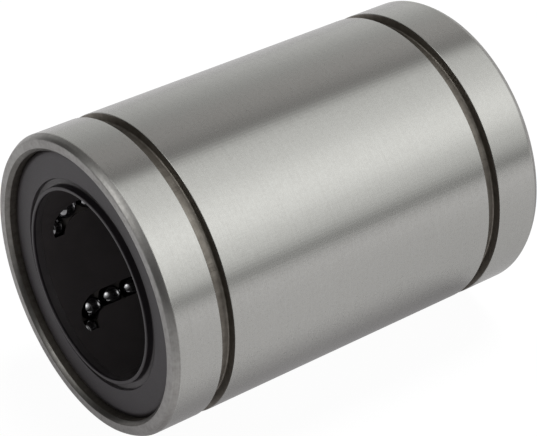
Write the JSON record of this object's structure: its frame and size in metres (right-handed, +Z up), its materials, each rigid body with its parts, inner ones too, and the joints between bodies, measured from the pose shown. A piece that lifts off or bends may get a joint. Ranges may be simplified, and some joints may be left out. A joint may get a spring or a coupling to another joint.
{
  "type": "linear ball bearing",
  "caption": "Closed linear ball bearing: ground steel sleeve with retaining-ring grooves, moulded cage with recirculating ball rows, and wiping rubber seals at both ends.",
  "frame": {"origin": "middle of the bearing, on its axis", "axes": "+X along the bearing's axis from its front end, the near end in the picture, to its rear end; +Z up as it lies on its side"},
  "size_m": [0.058, 0.04, 0.04],
  "materials": {
    "sleeve_steel": "ground, satin, with fine rings round the axis",
    "cage_plastic": "black moulded plastic, oiled",
    "seal_rubber": "matte black rubber",
    "core_steel": "plain rolled steel",
    "ball_steel": "polished bearing steel"
  },
  "bodies": {
    "bearing": {"outer_sleeve": "sleeve_steel", "ball_retainer": "cage_plastic", "front_seal": "seal_rubber", "front_seal_core": "core_steel", "rear_seal": "seal_rubber", "rear_seal_core": "core_steel"},
    "load_row_1": {"load_balls_1": "ball_steel"},
    "rear_turn_1": {"rear_turn_balls_1": "ball_steel"},
    "return_row_1": {"return_balls_1": "ball_steel"},
    "front_turn_1": {"front_turn_balls_1": "ball_steel"},
    "load_row_2": {"load_balls_2": "ball_steel"},
    "rear_turn_2": {"rear_turn_balls_2": "ball_steel"},
    "return_row_2": {"return_balls_2": "ball_steel"},
    "front_turn_2": {"front_turn_balls_2": "ball_steel"},
    "load_row_3": {"load_balls_3": "ball_steel"},
    "rear_turn_3": {"rear_turn_balls_3": "ball_steel"},
    "return_row_3": {"return_balls_3": "ball_steel"},
    "front_turn_3": {"front_turn_balls_3": "ball_steel"},
    "load_row_4": {"load_balls_4": "ball_steel"},
    "rear_turn_4": {"rear_turn_balls_4": "ball_steel"},
    "return_row_4": {"return_balls_4": "ball_steel"},
    "front_turn_4": {"front_turn_balls_4": "ball_steel"},
    "load_row_5": {"load_balls_5": "ball_steel"},
    "rear_turn_5": {"rear_turn_balls_5": "ball_steel"},
    "return_row_5": {"return_balls_5": "ball_steel"},
    "front_turn_5": {"front_turn_balls_5": "ball_steel"},
    "load_row_6": {"load_balls_6": "ball_steel"},
    "rear_turn_6": {"rear_turn_balls_6": "ball_steel"},
    "return_row_6": {"return_balls_6": "ball_steel"},
    "front_turn_6": {"front_turn_balls_6": "ball_steel"}
  },
  "joints": [
    {"name": "load_row_1_slide", "type": "slide", "parent": "bearing", "child": "load_row_1", "axis": [1, 0, 0], "range_m": [-0.00161, 0.00161]},
    {"name": "rear_turn_1_hinge", "type": "hinge", "parent": "bearing", "child": "rear_turn_1", "pos_m": [0.02096, 0.01445, -0.00053], "axis": [0, 0.9823, 0.1873], "range_deg": [-30, 30]},
    {"name": "return_row_1_slide", "type": "slide", "parent": "bearing", "child": "return_row_1", "axis": [1, 0, 0], "range_m": [-0.00161, 0.00161]},
    {"name": "front_turn_1_hinge", "type": "hinge", "parent": "bearing", "child": "front_turn_1", "pos_m": [-0.02096, 0.01445, -0.00053], "axis": [0, 0.9823, 0.1873], "range_deg": [-30, 30]},
    {"name": "load_row_2_slide", "type": "slide", "parent": "bearing", "child": "load_row_2", "axis": [1, 0, 0], "range_m": [-0.00161, 0.00161]},
    {"name": "rear_turn_2_hinge", "type": "hinge", "parent": "bearing", "child": "rear_turn_2", "pos_m": [0.02096, 0.00768, 0.01225], "axis": [0, 0.3289, 0.9444], "range_deg": [-30, 30]},
    {"name": "return_row_2_slide", "type": "slide", "parent": "bearing", "child": "return_row_2", "axis": [1, 0, 0], "range_m": [-0.00161, 0.00161]},
    {"name": "front_turn_2_hinge", "type": "hinge", "parent": "bearing", "child": "front_turn_2", "pos_m": [-0.02096, 0.00768, 0.01225], "axis": [0, 0.3289, 0.9444], "range_deg": [-30, 30]},
    {"name": "load_row_3_slide", "type": "slide", "parent": "bearing", "child": "load_row_3", "axis": [1, 0, 0], "range_m": [-0.00161, 0.00161]},
    {"name": "rear_turn_3_hinge", "type": "hinge", "parent": "bearing", "child": "rear_turn_3", "pos_m": [0.02096, -0.00677, 0.01278], "axis": [0, -0.6534, 0.757], "range_deg": [-30, 30]},
    {"name": "return_row_3_slide", "type": "slide", "parent": "bearing", "child": "return_row_3", "axis": [1, 0, 0], "range_m": [-0.00161, 0.00161]},
    {"name": "front_turn_3_hinge", "type": "hinge", "parent": "bearing", "child": "front_turn_3", "pos_m": [-0.02096, -0.00677, 0.01278], "axis": [0, -0.6534, 0.757], "range_deg": [-30, 30]},
    {"name": "load_row_4_slide", "type": "slide", "parent": "bearing", "child": "load_row_4", "axis": [1, 0, 0], "range_m": [-0.00161, 0.00161]},
    {"name": "rear_turn_4_hinge", "type": "hinge", "parent": "bearing", "child": "rear_turn_4", "pos_m": [0.02096, -0.01445, 0.00053], "axis": [0, -0.9823, -0.1873], "range_deg": [-30, 30]},
    {"name": "return_row_4_slide", "type": "slide", "parent": "bearing", "child": "return_row_4", "axis": [1, 0, 0], "range_m": [-0.00161, 0.00161]},
    {"name": "front_turn_4_hinge", "type": "hinge", "parent": "bearing", "child": "front_turn_4", "pos_m": [-0.02096, -0.01445, 0.00053], "axis": [0, -0.9823, -0.1873], "range_deg": [-30, 30]},
    {"name": "load_row_5_slide", "type": "slide", "parent": "bearing", "child": "load_row_5", "axis": [1, 0, 0], "range_m": [-0.00161, 0.00161]},
    {"name": "rear_turn_5_hinge", "type": "hinge", "parent": "bearing", "child": "rear_turn_5", "pos_m": [0.02096, -0.00768, -0.01225], "axis": [0, -0.3289, -0.9444], "range_deg": [-30, 30]},
    {"name": "return_row_5_slide", "type": "slide", "parent": "bearing", "child": "return_row_5", "axis": [1, 0, 0], "range_m": [-0.00161, 0.00161]},
    {"name": "front_turn_5_hinge", "type": "hinge", "parent": "bearing", "child": "front_turn_5", "pos_m": [-0.02096, -0.00768, -0.01225], "axis": [0, -0.3289, -0.9444], "range_deg": [-30, 30]},
    {"name": "load_row_6_slide", "type": "slide", "parent": "bearing", "child": "load_row_6", "axis": [1, 0, 0], "range_m": [-0.00161, 0.00161]},
    {"name": "rear_turn_6_hinge", "type": "hinge", "parent": "bearing", "child": "rear_turn_6", "pos_m": [0.02096, 0.00677, -0.01278], "axis": [0, 0.6534, -0.757], "range_deg": [-30, 30]},
    {"name": "return_row_6_slide", "type": "slide", "parent": "bearing", "child": "return_row_6", "axis": [1, 0, 0], "range_m": [-0.00161, 0.00161]},
    {"name": "front_turn_6_hinge", "type": "hinge", "parent": "bearing", "child": "front_turn_6", "pos_m": [-0.02096, 0.00677, -0.01278], "axis": [0, 0.6534, -0.757], "range_deg": [-30, 30]}
  ],
  "couplings": [
    {"joint": "rear_turn_1_hinge", "follows": "load_row_1_slide", "rad_per_m": 324.71},
    {"joint": "return_row_1_slide", "follows": "load_row_1_slide", "ratio": -1},
    {"joint": "front_turn_1_hinge", "follows": "load_row_1_slide", "rad_per_m": 324.71},
    {"joint": "rear_turn_2_hinge", "follows": "load_row_2_slide", "rad_per_m": 324.71},
    {"joint": "return_row_2_slide", "follows": "load_row_2_slide", "ratio": -1},
    {"joint": "front_turn_2_hinge", "follows": "load_row_2_slide", "rad_per_m": 324.71},
    {"joint": "rear_turn_3_hinge", "follows": "load_row_3_slide", "rad_per_m": 324.71},
    {"joint": "return_row_3_slide", "follows": "load_row_3_slide", "ratio": -1},
    {"joint": "front_turn_3_hinge", "follows": "load_row_3_slide", "rad_per_m": 324.71},
    {"joint": "rear_turn_4_hinge", "follows": "load_row_4_slide", "rad_per_m": 324.71},
    {"joint": "return_row_4_slide", "follows": "load_row_4_slide", "ratio": -1},
    {"joint": "front_turn_4_hinge", "follows": "load_row_4_slide", "rad_per_m": 324.71},
    {"joint": "rear_turn_5_hinge", "follows": "load_row_5_slide", "rad_per_m": 324.71},
    {"joint": "return_row_5_slide", "follows": "load_row_5_slide", "ratio": -1},
    {"joint": "front_turn_5_hinge", "follows": "load_row_5_slide", "rad_per_m": 324.71},
    {"joint": "rear_turn_6_hinge", "follows": "load_row_6_slide", "rad_per_m": 324.71},
    {"joint": "return_row_6_slide", "follows": "load_row_6_slide", "ratio": -1},
    {"joint": "front_turn_6_hinge", "follows": "load_row_6_slide", "rad_per_m": 324.71}
  ]
}
